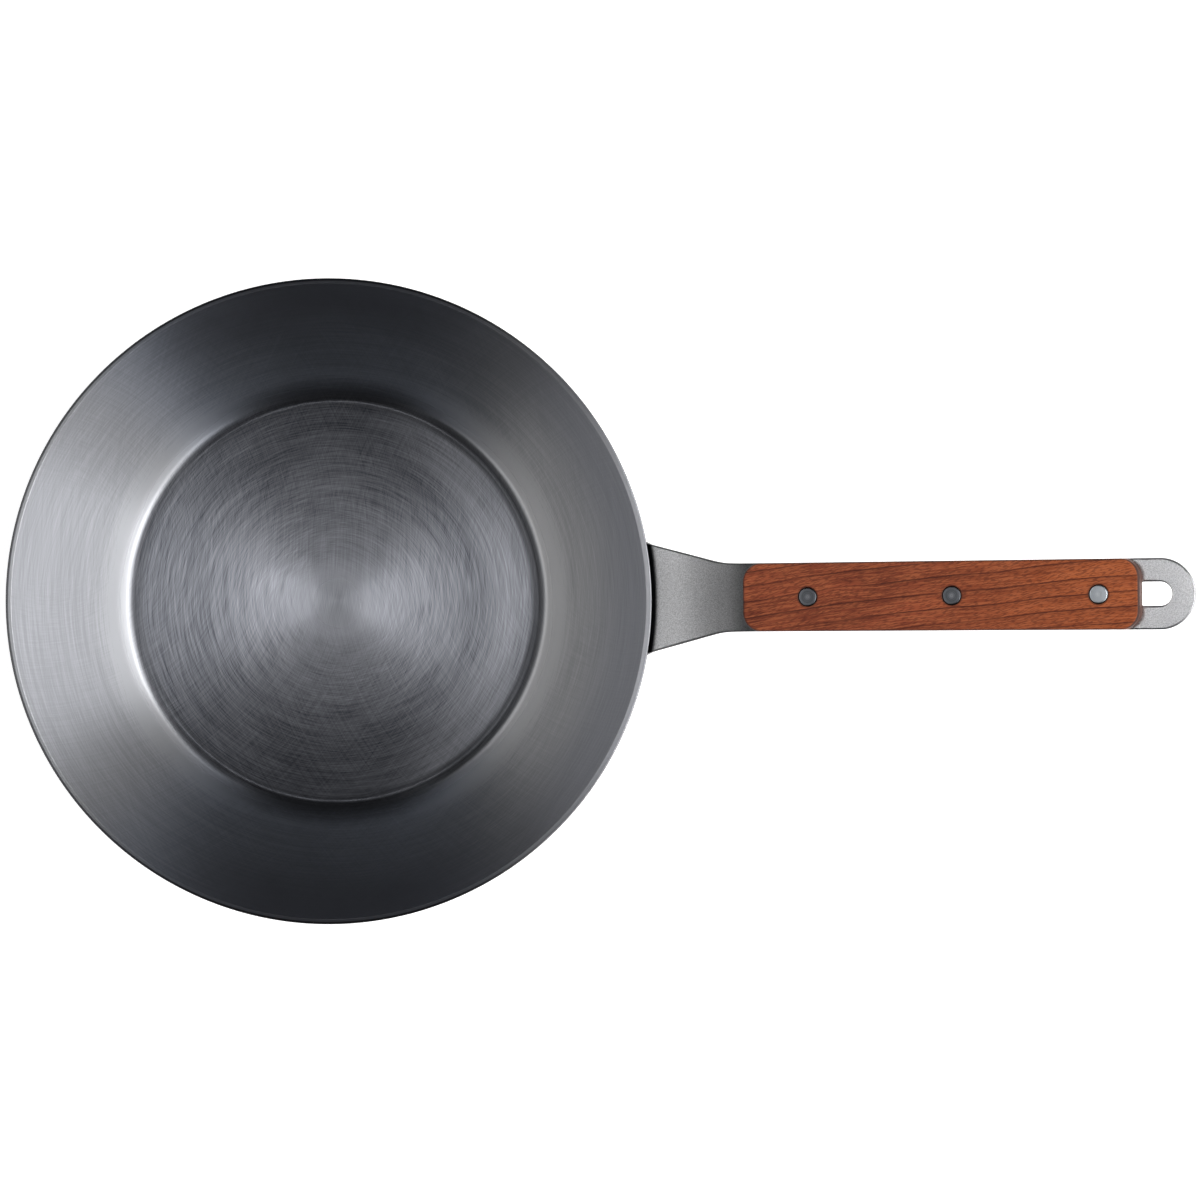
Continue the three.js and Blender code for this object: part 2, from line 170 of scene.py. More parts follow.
# %% Finish a piece
def add_piece(name, bm, finish, nodes, place=Matrix.Identity(4)):
    bmesh.ops.recalc_face_normals(bm, faces=bm.faces)
    bm.transform(place)
    mesh = bpy.data.meshes.new(name)
    bm.to_mesh(mesh)
    bm.free()
    mesh.shade_smooth()
    mesh.materials.append(finish)
    piece = bpy.data.objects.new(name, mesh)
    scene.collection.objects.link(piece)
    piece.modifiers.new("weighted_normals", "WEIGHTED_NORMAL")
    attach(piece, "root")
    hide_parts(*nodes)
    print(f"{name}: {len(mesh.vertices)} vertices")


# %% [markdown]
# ## Shader maths as Python
#
# A finish is a small program on the surface: rings from a radius, flecks from stretched noise. Wiring
# that by hand takes dozens of nodes. The class below wraps one socket. An expression on wires, such as
# `1 - mask * 0.3`, then adds its Math nodes by itself, and one method adds any other kind of node.

# %% A wire of the node tree
class Wire:
    """One output socket of a material's nodes."""

    def __init__(self, socket):
        self.socket = socket

    def node(self, kind, settings=None, inputs=None, output=0):
        """Adds a node: its settings first, then the values or wires of its sockets."""
        tree = self.socket.id_data
        made = tree.nodes.new("ShaderNode" + kind)
        for name, value in (settings or {}).items():
            setattr(made, name, value)
        for name, value in (inputs or {}).items():
            if isinstance(value, Wire):
                tree.links.new(value.socket, made.inputs[name])
            else:
                made.inputs[name].default_value = value
        return Wire(made.outputs[output])

    def math(self, operation, *others):
        return self.node("Math", {"operation": operation}, dict(enumerate((self, *others))))

    def __add__(self, other):
        return self.math("ADD", other)

    def __mul__(self, other):
        return self.math("MULTIPLY", other)

    __radd__, __rmul__ = __add__, __mul__

    def __sub__(self, other):
        return self.math("SUBTRACT", other)

    def __rsub__(self, other):
        return (self * -1) + other

    def __truediv__(self, other):
        return self.math("DIVIDE", other)

    def vector(self, operation, *others, output=0):
        inputs = dict(enumerate((self, *others)))
        return self.node("VectorMath", {"operation": operation}, inputs, output)

    def dot(self, other):
        return self.vector("DOT_PRODUCT", other, output=1)

    def length(self):
        return self.vector("LENGTH", output=1)

    def level(self):
        """This vector without its height."""
        return self.vector("MULTIPLY", (1, 1, 0))

    def parts(self):
        split = self.node("SeparateXYZ", inputs={0: self}).socket.node
        return [Wire(socket) for socket in split.outputs]

    def combine(self, y, z):
        return self.node("CombineXYZ", inputs={0: self, 1: y, 2: z})

    def ramp(self, low, high):
        """0 at low, 1 at high and smooth in between."""
        settings = {"interpolation_type": "SMOOTHSTEP"}
        return self.node("MapRange", settings, {"Value": self, "From Min": low, "From Max": high})

    def band(self, low, full, fade, high):
        """1 from full to fade, and down to 0 at low and at high."""
        return self.ramp(low, full) * (1 - self.ramp(fade, high))

    def noise(self, detail):
        """Noise about one unit of this vector across, from 0 to 1."""
        return self.node("TexNoise", inputs={"Vector": self, "Scale": 1.0, "Detail": detail})

    def spots(self, per_metre, detail):
        """Noise with about this many spots in a metre."""
        return self.vector("MULTIPLY", (per_metre, per_metre, per_metre)).noise(detail)

    def mix(self, colour, other):
        """This mask's blend from one colour to another."""
        return self.node("Mix", {"data_type": "RGBA"}, {0: self, 6: colour, 7: other}, output=2)

    def bump(self, height):
        """A normal from this wire as a height map, in metres at 1."""
        return self.node("Bump", inputs={"Height": self, "Distance": height})


def new_finish(name):
    """A material with no nodes but the surface's own place, in the frame's metres."""
    material = bpy.data.materials.new(name)
    material.use_nodes = True
    material.node_tree.nodes.clear()
    place = material.node_tree.nodes.new("ShaderNodeTexCoord")
    return material, Wire(place.outputs["Object"])


def surface_normal(point):
    """The direction that the surface faces at its own place."""
    return Wire(point.socket.node.outputs["Normal"])


def output_finish(material, shader):
    output = material.node_tree.nodes.new("ShaderNodeOutputMaterial")
    material.node_tree.links.new(shader.socket, output.inputs["Surface"])
    print(f"{material.name}: {len(material.node_tree.nodes)} nodes")
    return material


def close_finish(material, point, inputs):
    """Ends a material in one Principled shader."""
    return output_finish(material, point.node("BsdfPrincipled", inputs=inputs))


# %% [markdown]
# ## The pan's steel
#
# The inside of the pan is bare carbon steel, brushed round its axis: thousands of short arcs, no two
# quite concentric. Noise in polar coordinates gives such arcs. Five layers make them cross: one round the
# axis, two round centres close to it and two round centres outside the floor.

# %% Brush marks
BRUSH_LINE = 0.42 * MM
BRUSH_CENTRES = {  # each centre's place, and the length of its arcs in radians
    (8 * MM, 4 * MM, 0): 0.35,
    (-7 * MM, -9 * MM, 0): 0.35,
    (130 * MM, 15 * MM, 0): 0.16,
    (-125 * MM, 30 * MM, 0): 0.16,
}


def brush_arcs(point, centre, line_width, arc_turn):
    """Fine lines round a centre, each about arc_turn radians long. They fade out at the centre itself."""
    across = point.vector("SUBTRACT", centre).level()
    x, y, _ = across.vector("NORMALIZE").parts()
    radius = across.length()
    lines = (x / arc_turn).combine(y / arc_turn, radius / line_width).noise(1.5)
    return (lines - 0.5) * radius.ramp(8 * MM, 36 * MM)


def crossing_arcs(point):
    """All five layers of fine lines."""
    arcs = brush_arcs(point, (0, 0, 0), BRUSH_LINE, 0.4)
    for centre, arc_turn in BRUSH_CENTRES.items():
        arcs = arcs + 0.7 * brush_arcs(point, centre, BRUSH_LINE, arc_turn)
    return arcs


# %% [markdown]
# The colour of the steel differs from place to place in the photograph, and these differences are painted
# light and shade. The floor has a painted highlight in the middle and a ring of painted shade where it
# turns up. The wall has painted bluish reflections on the two sides beside the handle's line and is neutral
# towards the handle, with a painted highlight in its belly and painted shade towards the rim. Masks by
# radius and direction give all of that. The outside doesn't show, and is taken as dark and unbrushed.

# %% Colours of the floor and the wall
FLOOR_EDGE = 89 * MM
STROKE_WIDTH = 4 * MM


def floor_colour(point, radius, x, tone, arcs):
    """Painted highlight in the middle and towards the handle, with broad strokes under the fine arcs."""
    strokes = brush_arcs(point, (5 * MM, 3 * MM, 0), STROKE_WIDTH, 0.4)
    # painted highlight: brighter in the middle of the floor and at its edge towards the handle
    painted_highlight = 0.25 * (1 - radius.ramp(28 * MM, 72 * MM)) + 0.13 * (1 - radius.ramp(2 * MM, 40 * MM))
    painted_highlight = painted_highlight + 0.35 * radius.ramp(62 * MM, 76 * MM) * x.ramp(10 * MM, 55 * MM)
    floor_tone = tone + 0.6 * arcs + 0.3 * strokes + painted_highlight
    return floor_tone.mix((0.07, 0.074, 0.089, 1), (0.42, 0.43, 0.468, 1))


def wall_colour(radius, x, sideways, tone, arcs):
    """Painted light and shade by direction about the axis. sideways is 0 along the handle's line and 1
    square to it.
    """
    aside = sideways.ramp(0.8, 1.0)
    belly = (radius - FLOOR_EDGE).band(3 * MM, 6 * MM, 7 * MM, 20 * MM)
    # painted highlight in the belly, weaker on the two sides
    wall_tone = tone + 1.1 * arcs + 1.2 * belly * (1 - 0.8 * aside)
    cool = wall_tone.mix((0.298, 0.302, 0.318, 1), (0.412, 0.418, 0.437, 1))
    # painted reflection: a bluish tint on the two sides beside the handle's line
    blue = wall_tone.mix((0.28, 0.3, 0.345, 1), (0.39, 0.415, 0.475, 1))
    neutral = wall_tone.mix((0.31, 0.31, 0.314, 1), (0.435, 0.433, 0.434, 1))
    left_wall = sideways.ramp(0.6, 0.9).mix(cool, blue)
    whole_wall = x.ramp(20 * MM, 110 * MM).mix(left_wall, neutral)
    # painted shade towards the rim, on the two sides and towards the handle
    shaded = radius.ramp(108 * MM, 132 * MM) * (0.9 * aside + 0.55 * x.ramp(30 * MM, 110 * MM))
    return shaded.mix(whole_wall, (0.195, 0.203, 0.232, 1))


# %% Dark ring and brushed side
def dark_ring(radius, x, sideways):
    """Painted shade along the floor's edge, stronger towards the handle, and on the two sides also a little
    way up the wall.
    """
    aside = sideways.ramp(0.8, 1.0)
    past_edge = radius - FLOOR_EDGE
    at_edge = past_edge.band(-3 * MM, -0.5 * MM, 3 * MM, 4.8 * MM)
    above_edge = past_edge.band(0, 2 * MM, 4 * MM, 14 * MM)
    # painted shade along the floor's edge, weighted by direction
    edge_shade = at_edge * (0.35 + 0.35 * x.ramp(-40 * MM, 60 * MM)) * (1 - 0.4 * aside)
    return edge_shade.math("MAXIMUM", 0.7 * aside * above_edge)


def brushed_side(point, radius, x):
    """1 on the inside of the pan and 0 on its outside. Most of the rim's outer edge is dark too, a painted
    shade that fades out towards the handle.
    """
    normal = surface_normal(point)
    _, _, facing_up = normal.parts()
    facing_out = normal.dot(point.level()) / radius
    # painted shade on the rim's outer edge, away from the handle's side
    outline = radius.ramp(rim_radius - 1.3 * MM, rim_radius - 0.9 * MM)
    outline = outline * (1 - x.ramp(40 * MM, 125 * MM))
    return facing_up.ramp(-0.35, -0.05) * (1 - facing_out.ramp(0.5, 0.85)) * (1 - 0.75 * outline)


# %% [markdown]
# Light spreads across the grooves, not along them, which is what Anisotropic does. A share of plain satin
# reflection is mixed in, most of all in the middle of the floor, where the grooves have no clear
# direction.

# %% Carbon steel
def carbon_steel():
    finish, point = new_finish("carbon_steel")
    radius = point.level().length()
    x, y, _ = point.parts()
    sideways = (y / radius).math("ABSOLUTE")
    arcs = crossing_arcs(point)
    cloud = point.spots(28, 3) - 0.5
    tone = 0.3 + 0.35 * cloud
    bare_floor = floor_colour(point, radius, x, tone, arcs)
    bare_wall = wall_colour(radius, x, sideways, tone, arcs)
    past_edge = radius - FLOOR_EDGE
    bare = past_edge.ramp(1 * MM, 6 * MM).mix(bare_floor, bare_wall)
    # painted shade: the dark ring
    inside = dark_ring(radius, x, sideways).mix(bare, (0.03, 0.031, 0.034, 1))
    outside = (0.5 + 1.2 * cloud + 0.6 * arcs).mix((0.013, 0.0135, 0.016, 1), (0.033, 0.033, 0.035, 1))
    shared = {
        "Base Color": brushed_side(point, radius, x).mix(outside, inside),
        "Metallic": 1.0,
        "Normal": arcs.bump(0.004 * MM),
    }
    middle = 1 - radius.ramp(1 * MM, 24 * MM)
    in_fillet = past_edge.band(0.5 * MM, 2.5 * MM, 5 * MM, 12 * MM)
    brushed = point.node("BsdfPrincipled", inputs={
        **shared,
        "Roughness": 0.52 + 0.1 * cloud,
        "Anisotropic": 0.95,
        "Anisotropic Rotation": 0.25,
    })
    satin = point.node("BsdfPrincipled", inputs={
        **shared,
        "Roughness": 0.2 + 0.12 * middle + 0.1 * in_fillet + 0.06 * cloud,
    })
    share = 0.25 + 0.65 * middle + 0.1 * in_fillet
    return output_finish(finish, point.node("MixShader", inputs={0: share, 1: brushed, 2: satin}))


steel = carbon_steel()

# %% [markdown]
# ## The pan
#
# One disc of sheet pressed into a flat floor, a small fillet, a soft belly and a straight flared wall,
# then cut level at the rim. A lathe profile says all of that: the inside is drawn first and the outside
# is the same line, one sheet thickness away.

# %% Pan bowl
PAN_SHEET = 2.5 * MM
WALL_LEAN = math.radians(29)  # from the vertical
FLOOR_FILLET = 9 * MM
FILLET_TURN = math.radians(40)
BELLY_RADIUS = 70 * MM
RIM_ROUND = 0.6 * MM
PAN_SEGMENTS = 256
FILLET_STEPS = 24
ROUND_STEPS = 8

wall_rise = math.pi / 2 - WALL_LEAN
outer_round = (rim_radius - RIM_ROUND, rim_height - RIM_ROUND)
outer_corner = outer_round[0] + RIM_ROUND * (1 + math.sin(WALL_LEAN)) / math.cos(WALL_LEAN)
inner_corner = outer_corner - PAN_SHEET / math.cos(WALL_LEAN)
inner_edge = inner_corner + RIM_ROUND * (1 - math.sin(WALL_LEAN)) / math.cos(WALL_LEAN)
inner_round = (inner_edge, outer_round[1])
belly_run = BELLY_RADIUS * (math.sin(wall_rise) - math.sin(FILLET_TURN))
belly_height = BELLY_RADIUS * (math.cos(FILLET_TURN) - math.cos(wall_rise))
fillet_run = FLOOR_FILLET * math.sin(FILLET_TURN)
fillet_height = FLOOR_FILLET * (1 - math.cos(FILLET_TURN))
wall_height = rim_height - PAN_SHEET - fillet_height - belly_height
floor_radius = inner_corner - wall_height * math.tan(WALL_LEAN) - belly_run - fillet_run


def pan_turn(offset):
    """The floor's turn up into the wall, at the inside face or one sheet further out."""
    centre = (floor_radius, PAN_SHEET + FLOOR_FILLET)
    shift = BELLY_RADIUS - FLOOR_FILLET
    belly_centre = (centre[0] - shift * math.sin(FILLET_TURN), centre[1] + shift * math.cos(FILLET_TURN))
    fillet = arc(centre, FLOOR_FILLET + offset, 0, FILLET_TURN, FILLET_STEPS)
    belly = arc(belly_centre, BELLY_RADIUS + offset, FILLET_TURN, wall_rise, FILLET_STEPS)
    return fillet + belly[1:]


pan_profile = [
    (0, 0),
    *pan_turn(PAN_SHEET),
    *arc(outer_round, RIM_ROUND, wall_rise, math.pi, ROUND_STEPS),
    *arc(inner_round, RIM_ROUND, math.pi, math.pi + wall_rise, ROUND_STEPS),
    *reversed(pan_turn(0)),
    (0, PAN_SHEET),
]
add_piece("pan_bowl", lathe(pan_profile, PAN_SEGMENTS), steel, ["pan_body"])
print(f"Floor {2 * floor_radius / MM:.1f} mm across inside a rim of {2 * rim_radius / MM:.1f} mm")

# %% [markdown]
# ## The handle's side line
#
# The handle is one strip of stainless steel: a flange against the wall, a tight bend, a tapered neck that
# sweeps up and a straight tang. Its side view is a chain of straight runs and turns. Walking along that
# chain gives the place of any point, so the strip can be drawn flat, as it is blanked from sheet, and
# then bent.

# %% Side line of the strip
STRIP = 4 * MM
FLANGE_LENGTH = 26 * MM
FLANGE_GAP = 0.3 * MM
BEND_DROP = 4.8 * MM
BEND_RADIUS = 6 * MM
NECK_RISE = math.radians(10)
NECK_LENGTH = 8.5 * MM
NECK_TAPER = 37.2 * MM  # from the start of the bend
SWEEP_RADIUS = 230 * MM
TANG_RISE = math.radians(17)
TANG_LENGTH = 198.2 * MM

bend_turn = wall_rise - NECK_RISE
sweep_turn = TANG_RISE - NECK_RISE
runs = [
    (FLANGE_LENGTH, 0),
    ((BEND_RADIUS + STRIP) * bend_turn, -bend_turn),
    (NECK_LENGTH, 0),
    (SWEEP_RADIUS * sweep_turn, sweep_turn),
    (TANG_LENGTH, 0),
]
bend_end = runs[0][0] + runs[1][0]
sweep_end = bend_end + runs[2][0] + runs[3][0]

corner_radius = outer_corner - BEND_DROP * math.tan(WALL_LEAN) + FLANGE_GAP / math.cos(WALL_LEAN)
below_corner = FLANGE_LENGTH + (BEND_RADIUS + STRIP) * math.tan(bend_turn / 2)
flange_foot = Vector((
    corner_radius - below_corner * math.sin(WALL_LEAN),
    rim_height - BEND_DROP - below_corner * math.cos(WALL_LEAN),
))


def side_line(distance):
    """The point (radius, height) at a distance from the flange's foot, and the heading there."""
    point, heading, left = flange_foot.copy(), wall_rise, distance
    for run, turn in runs:
        step = min(left, run)
        turned = turn * step / run
        chord = step if turned == 0 else 2 * step * math.sin(turned / 2) / turned
        point += chord * Vector((math.cos(heading + turned / 2), math.sin(heading + turned / 2)))
        heading += turned
        left -= step
    return point, heading


def bend_strip(place):
    """Takes a point of the flat blank (along, across, height) to its place on the bent strip. The flange
    and the bend follow the round wall, and the neck flattens out by the end of its taper."""
    along, across, height = place
    point, heading = side_line(along)
    radius = point.x - height * math.sin(heading)
    share = min(max((along - bend_end) / (FLANGE_LENGTH + NECK_TAPER - bend_end), 0), 1)
    roundness = 1 - share * share * (3 - 2 * share)
    sag = radius - math.sqrt(radius * radius - across * across)
    return Vector((radius - roundness * sag, across, point.y + height * math.cos(heading)))


tang_start, _ = side_line(sweep_end)
tang_frame = Matrix.Translation((tang_start.x, 0, tang_start.y)) @ Matrix.Rotation(-TANG_RISE, 4, "Y")
rivet_run = sum(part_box("rivet_post_rear"), Vector()) - sum(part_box("rivet_post_front"), Vector())
rivet_rise = math.atan2(rivet_run.z, rivet_run.x)
print(f"Tang rises {math.degrees(TANG_RISE):.2f} degrees, rivets {math.degrees(rivet_rise):.2f}")

# %% [markdown]
# ## The handle's steel
#
# The strip has a fine satin finish with no direction, as from bead blasting. Noise about half a
# millimetre across gives it, as a bump and a change of tone. In the photograph the seam behind the rim,
# the steel in front of the wood and the strip's edges are darker, and the loop at the end is brighter.
# The shape alone leaves those places too pale, so masks paint that shade and the loop's highlight into
# the same colour.

# %% Stainless steel
def in_tang(point):
    """A point's place along, across and above the tang."""
    local = point.vector("SUBTRACT", tang_frame.translation)
    return [local.dot(tang_frame.col[axis].xyz) for axis in range(3)]


def stainless_steel():
    finish, point = new_finish("satin_stainless")
    speckle = point.spots(2200, 2)
    cloud = point.spots(60, 3)
    tone = speckle.ramp(0.3, 0.7)
    satin = tone.mix((0.48, 0.48, 0.49, 1), (0.76, 0.76, 0.775, 1))
    # painted highlight: the brighter colour of the loop
    loop_highlight = tone.mix((0.57, 0.57, 0.585, 1), (0.88, 0.88, 0.9, 1))
    _, _, height = point.parts()
    from_axis = point.level().length()
    # painted shade in the seam behind the rim
    seam = 1 - from_axis.ramp(rim_radius + 1.4 * MM, rim_radius + 2.6 * MM)
    seam = seam * height.ramp(rim_height - 14 * MM, rim_height - 9 * MM)
    along, _, _ = in_tang(point)
    # painted shade in front of the wood
    by_wood = along.band(-8 * MM, 4 * MM, 11 * MM, 15 * MM)
    on_loop = along.ramp(150 * MM, 175 * MM)
    # painted shade along the strip's rounded edges
    edge_line = surface_normal(point).dot(tang_frame.col[2].xyz).band(0.05, 0.3, 0.8, 0.97)
    # all of these are painted shade, mixed towards near black
    painted_shade = (0.97 * seam).math("MAXIMUM", 0.68 * by_wood).math("MAXIMUM", 0.8 * edge_line)
    return close_finish(finish, point, {
        "Base Color": painted_shade.mix(on_loop.mix(satin, loop_highlight), (0.012, 0.012, 0.014, 1)),
        "Metallic": 1.0,
        "Roughness": 0.29 + 0.05 * (cloud - 0.5),
        "Normal": speckle.bump(0.008 * MM),
    })


stainless = stainless_steel()

# %% [markdown]
# ## The handle strip
#
# A flat blank has a top, a bottom and a rounded edge all round. Seen as a lattice of stations along,
# columns across and steps through the thickness, only the lattice's outside is needed. The tang's two
# faces are filled round the slot and the rivet holes. The electrodes' dents are pressed into the flange
# before it all is bent.

# %% Blank outline
FLANGE_WIDTH = 51.5 * MM
FLANGE_CORNER = 9 * MM
NECK_BLEND = 1 * MM
TANG_START_WIDTH = 29.5 * MM
TANG_END_WIDTH = 30.3 * MM
EDGE_ROUND = 0.8 * MM
GRID = 0.7 * MM  # least spacing of the mesh where the strip bends or is dented
FLAT_MARGIN = 12 * MM  # from the end of the sweep to a place under the wood where the strip is flat
CORNER_STEPS = 18
TIP_STEPS = 40

tip_centre = sweep_end + TANG_LENGTH - TANG_END_WIDTH / 2


def tang_half_width(along):
    share = min(max((along - sweep_end) / (tip_centre - sweep_end), 0), 1)
    return (TANG_START_WIDTH + (TANG_END_WIDTH - TANG_START_WIDTH) * share) / 2


def strip_half_width(along):
    """Flange width, then a straight taper through the bend that runs softly into the tang."""
    slope = (FLANGE_WIDTH - TANG_START_WIDTH) / 2 / NECK_TAPER
    neck = FLANGE_WIDTH / 2 - slope * max(0, along - FLANGE_LENGTH)
    tang = tang_half_width(along)
    return (neck + tang + math.hypot(neck - tang, NECK_BLEND)) / 2


stations = []  # each an (along, half width, lean of the outline's inward normal)
for i in range(CORNER_STEPS):
    turn = math.pi / 2 * i / CORNER_STEPS
    along = FLANGE_CORNER * (1 - math.cos(turn))
    half = FLANGE_WIDTH / 2 - FLANGE_CORNER * (1 - math.sin(turn))
    stations.append((along, half, math.pi / 2 - turn))
flat_start = sweep_end + FLAT_MARGIN
grid_steps = round((flat_start - FLANGE_CORNER) / GRID)
for i in range(grid_steps + 1):
    along = FLANGE_CORNER + (flat_start - FLANGE_CORNER) * i / grid_steps
    stations.append((along, strip_half_width(along), 0))
flat_station = len(stations) - 1
for i in range(TIP_STEPS + 1):
    turn = math.pi / 2 * i / (TIP_STEPS + 0.5)
    half = TANG_END_WIDTH / 2
    stations.append((tip_centre + half * math.sin(turn), half * math.cos(turn), -turn))
print(f"Strip: {len(stations)} stations, {(sweep_end + TANG_LENGTH) / MM:.1f} mm of blank")

# %% Holes and dents
LOOP_REACH = 22.6 * MM
SLOT_WIDTH = 10.1 * MM
SLOT_COVER = 4.1 * MM
SCALE_START = 2.8 * MM
RIVET_FRONT_MARGIN = 28.9 * MM
RIVET_REAR_MARGIN = 17.4 * MM
SLEEVE_DIAMETER = 5 * MM
RIVET_CLEARANCE = 0.15 * MM
WELD_DIAMETER = 5.5 * MM
WELD_SPACING_ACROSS = 24 * MM
WELD_SPACING_UP = 13 * MM
DENT_DEPTH = 0.5 * MM
DENT_RIM = 0.7 * MM  # width of the soft edge of a dent
HOLE_SEGMENTS = 48

scale_rear = TANG_LENGTH - LOOP_REACH
rivet_names = ["front", "middle", "rear"]
first_rivet = SCALE_START + RIVET_FRONT_MARGIN
rivet_pitch = (scale_rear - RIVET_REAR_MARGIN - first_rivet) / (len(rivet_names) - 1)
rivet_places = [first_rivet + rivet_pitch * i for i in range(len(rivet_names))]
welds = {
    f"{row}_{side}": (FLANGE_LENGTH / 2 + up * WELD_SPACING_UP / 2, across * WELD_SPACING_ACROSS / 2)
    for row, up in (("lower", -1), ("upper", 1))
    for side, across in (("right", -1), ("left", 1))
}


def slot_outline(growth):
    """The hanging slot, from an end that is concentric with the tip back to one under the wood."""
    radius = SLOT_WIDTH / 2 + growth
    start = sweep_end + scale_rear - SLOT_COVER + SLOT_WIDTH / 2
    half = HOLE_SEGMENTS // 2
    turns = [math.pi * i / half - math.pi / 2 for i in range(half + 1)]
    tip_end = [(tip_centre + radius * math.cos(t), radius * math.sin(t)) for t in turns]
    return tip_end + [(start - radius * math.cos(t), -radius * math.sin(t)) for t in turns]


def dent(along, across):
    """How far the electrodes have pressed the flange in."""
    depth = 0
    for place in welds.values():
        share = (math.dist((along, across), place) - WELD_DIAMETER / 2) / DENT_RIM
        share = min(max(share, 0), 1)
        depth += DENT_DEPTH * (1 - share * share * (3 - 2 * share))
    return depth


# %% Skin and bend the strip
COLUMNS = 68
edge_profile = rounded_edge(EDGE_ROUND, ROUND_STEPS // 2)
strip_profile = edge_profile + [(inset, STRIP - depth) for inset, depth in reversed(edge_profile)]


def blank_place(station, column, step):
    """A point on the outside of the flat blank."""
    along, half, lean = stations[station]
    inset, depth = strip_profile[step]
    along += inset * math.sin(lean)
    across = (half - inset * math.cos(lean)) * (2 * column / COLUMNS - 1)
    if step == len(strip_profile) - 1:
        depth -= dent(along, across)
    return along, across, -depth


def handle_strip():
    bm = bmesh.new()
    corners = {}

    def corner(*key):
        if key not in corners:
            corners[key] = bm.verts.new(blank_place(*key))
        return corners[key]

    last = (len(stations) - 1, COLUMNS, len(strip_profile) - 1)
    for side in (0, last[2]):
        for s in range(flat_station):
            for c in range(COLUMNS):
                bm.faces.new([corner(s + i, c + j, side) for i, j in ((0, 0), (1, 0), (1, 1), (0, 1))])
    for side in (0, last[1]):
        for s in range(last[0]):
            for k in range(last[2]):
                bm.faces.new([corner(s + i, side, k + j) for i, j in ((0, 0), (1, 0), (1, 1), (0, 1))])
    for side in (0, last[0]):
        for c in range(COLUMNS):
            for k in range(last[2]):
                bm.faces.new([corner(side, c + i, k + j) for i, j in ((0, 0), (1, 0), (1, 1), (0, 1))])
    hole = SLEEVE_DIAMETER / 2 + RIVET_CLEARANCE
    outlines = [slot_outline] + [circle(sweep_end + x, hole, HOLE_SEGMENTS) for x in rivet_places]
    holes = [tunnel(bm, outline, strip_profile) for outline in outlines]
    for face, side in enumerate((0, last[2])):
        ring = [corner(s, 0, side) for s in range(flat_station, last[0])]
        ring += [corner(last[0], c, side) for c in range(COLUMNS)]
        ring += [corner(s, COLUMNS, side) for s in range(last[0], flat_station, -1)]
        ring += [corner(flat_station, c, side) for c in range(COLUMNS, 0, -1)]
        edges = loop_edges(bm, ring) + [edge for ends in holes for edge in ends[face]]
        bmesh.ops.triangle_fill(bm, edges=edges, use_beauty=True)
    for vert in bm.verts:
        vert.co = bend_strip(vert.co)
    return bm


add_piece("handle_strip", handle_strip(), stainless, ["handle_tang"])

# %% [markdown]
# ## The spot welds
#
# Four electrode marks hold the flange to the wall. Each is a small dished disc, a little raised at its
# rim where the metal was squeezed out, and straw to blue from the heat.

# %% Weld metal and marks
def weld_metal():
    finish, point = new_finish("weld_metal")
    grain = point.spots(1500, 3)
    tint = point.spots(260, 2)
    warm = tint.ramp(0.35, 0.65).mix((0.42, 0.36, 0.28, 1), (0.34, 0.35, 0.42, 1))
    return close_finish(finish, point, {
        "Base Color": grain.mix(warm, (0.55, 0.53, 0.5, 1)),
        "Metallic": 1.0,
        "Roughness": 0.35 + 0.3 * grain,
        "Normal": grain.bump(0.05 * MM),
    })


weld_finish = weld_metal()
WELD_SEGMENTS = 64
WELD_LIP = 0.06 * MM  # height of the squeezed-out metal
weld_radius = WELD_DIAMETER / 2
weld_profile = [
    (0, -0.9 * DENT_DEPTH),
    (0.35 * weld_radius, -0.88 * DENT_DEPTH),
    (0.7 * weld_radius, -0.7 * DENT_DEPTH),
    (0.85 * weld_radius, -0.3 * DENT_DEPTH),
    (0.93 * weld_radius, WELD_LIP * 2 / 3),
    (weld_radius, WELD_LIP),
    (1.07 * weld_radius, 0),
    (1.1 * weld_radius, -0.3 * DENT_DEPTH),
    (weld_radius, -2 * DENT_DEPTH),
    (0, -2 * DENT_DEPTH),
]
for name, (along, across) in welds.items():
    point, _ = side_line(along)
    turn = across / point.x
    outwards = Matrix.Rotation(turn, 4, "Z") @ Matrix.Rotation(math.pi / 2 + WALL_LEAN, 4, "Y")
    foot = Matrix.Translation((point.x * math.cos(turn), point.x * math.sin(turn), point.y))
    place = foot @ outwards @ Matrix.Translation((0, 0, STRIP))
    mark = lathe(weld_profile, WELD_SEGMENTS)
    add_piece(f"weld_mark_{name}", mark, weld_finish, [f"spot_weld_{name}"], place)

# %% [markdown]
# ## The wood
#
# The wood looks like beech, stained red-brown and oiled. Three things make it read as beech: long growth
# lines that run almost along the handle, short dark flecks where the rays are cut, and slow changes of
# tone. All of them are the same noise, stretched differently along the handle's own axes, so the sides of
# the wood show what a solid block would. The rear end is dark, as end grain and as painted shade, and the
# edges and the wood round the rivets are darker with painted shade.

# %% Stained beech
GRAIN_SLOPE = 0.15  # at the front of the handle
GRAIN_LEVELS = 260 * MM  # where the grain would run straight along the handle
RING_WIDTH = 6.5 * MM
FLECK_LENGTH, FLECK_WIDTH = 2.6 * MM, 0.42 * MM
FLECK_SLANT = 0.15
FIBRE_LENGTH, FIBRE_WIDTH = 14 * MM, 0.7 * MM


def from_rivet(along, across):
    """The distance to the axis of the nearest rivet."""
    front, middle, rear = [(along - x).combine(across, 0).length() for x in rivet_places]
    return front.math("MINIMUM", middle).math("MINIMUM", rear)


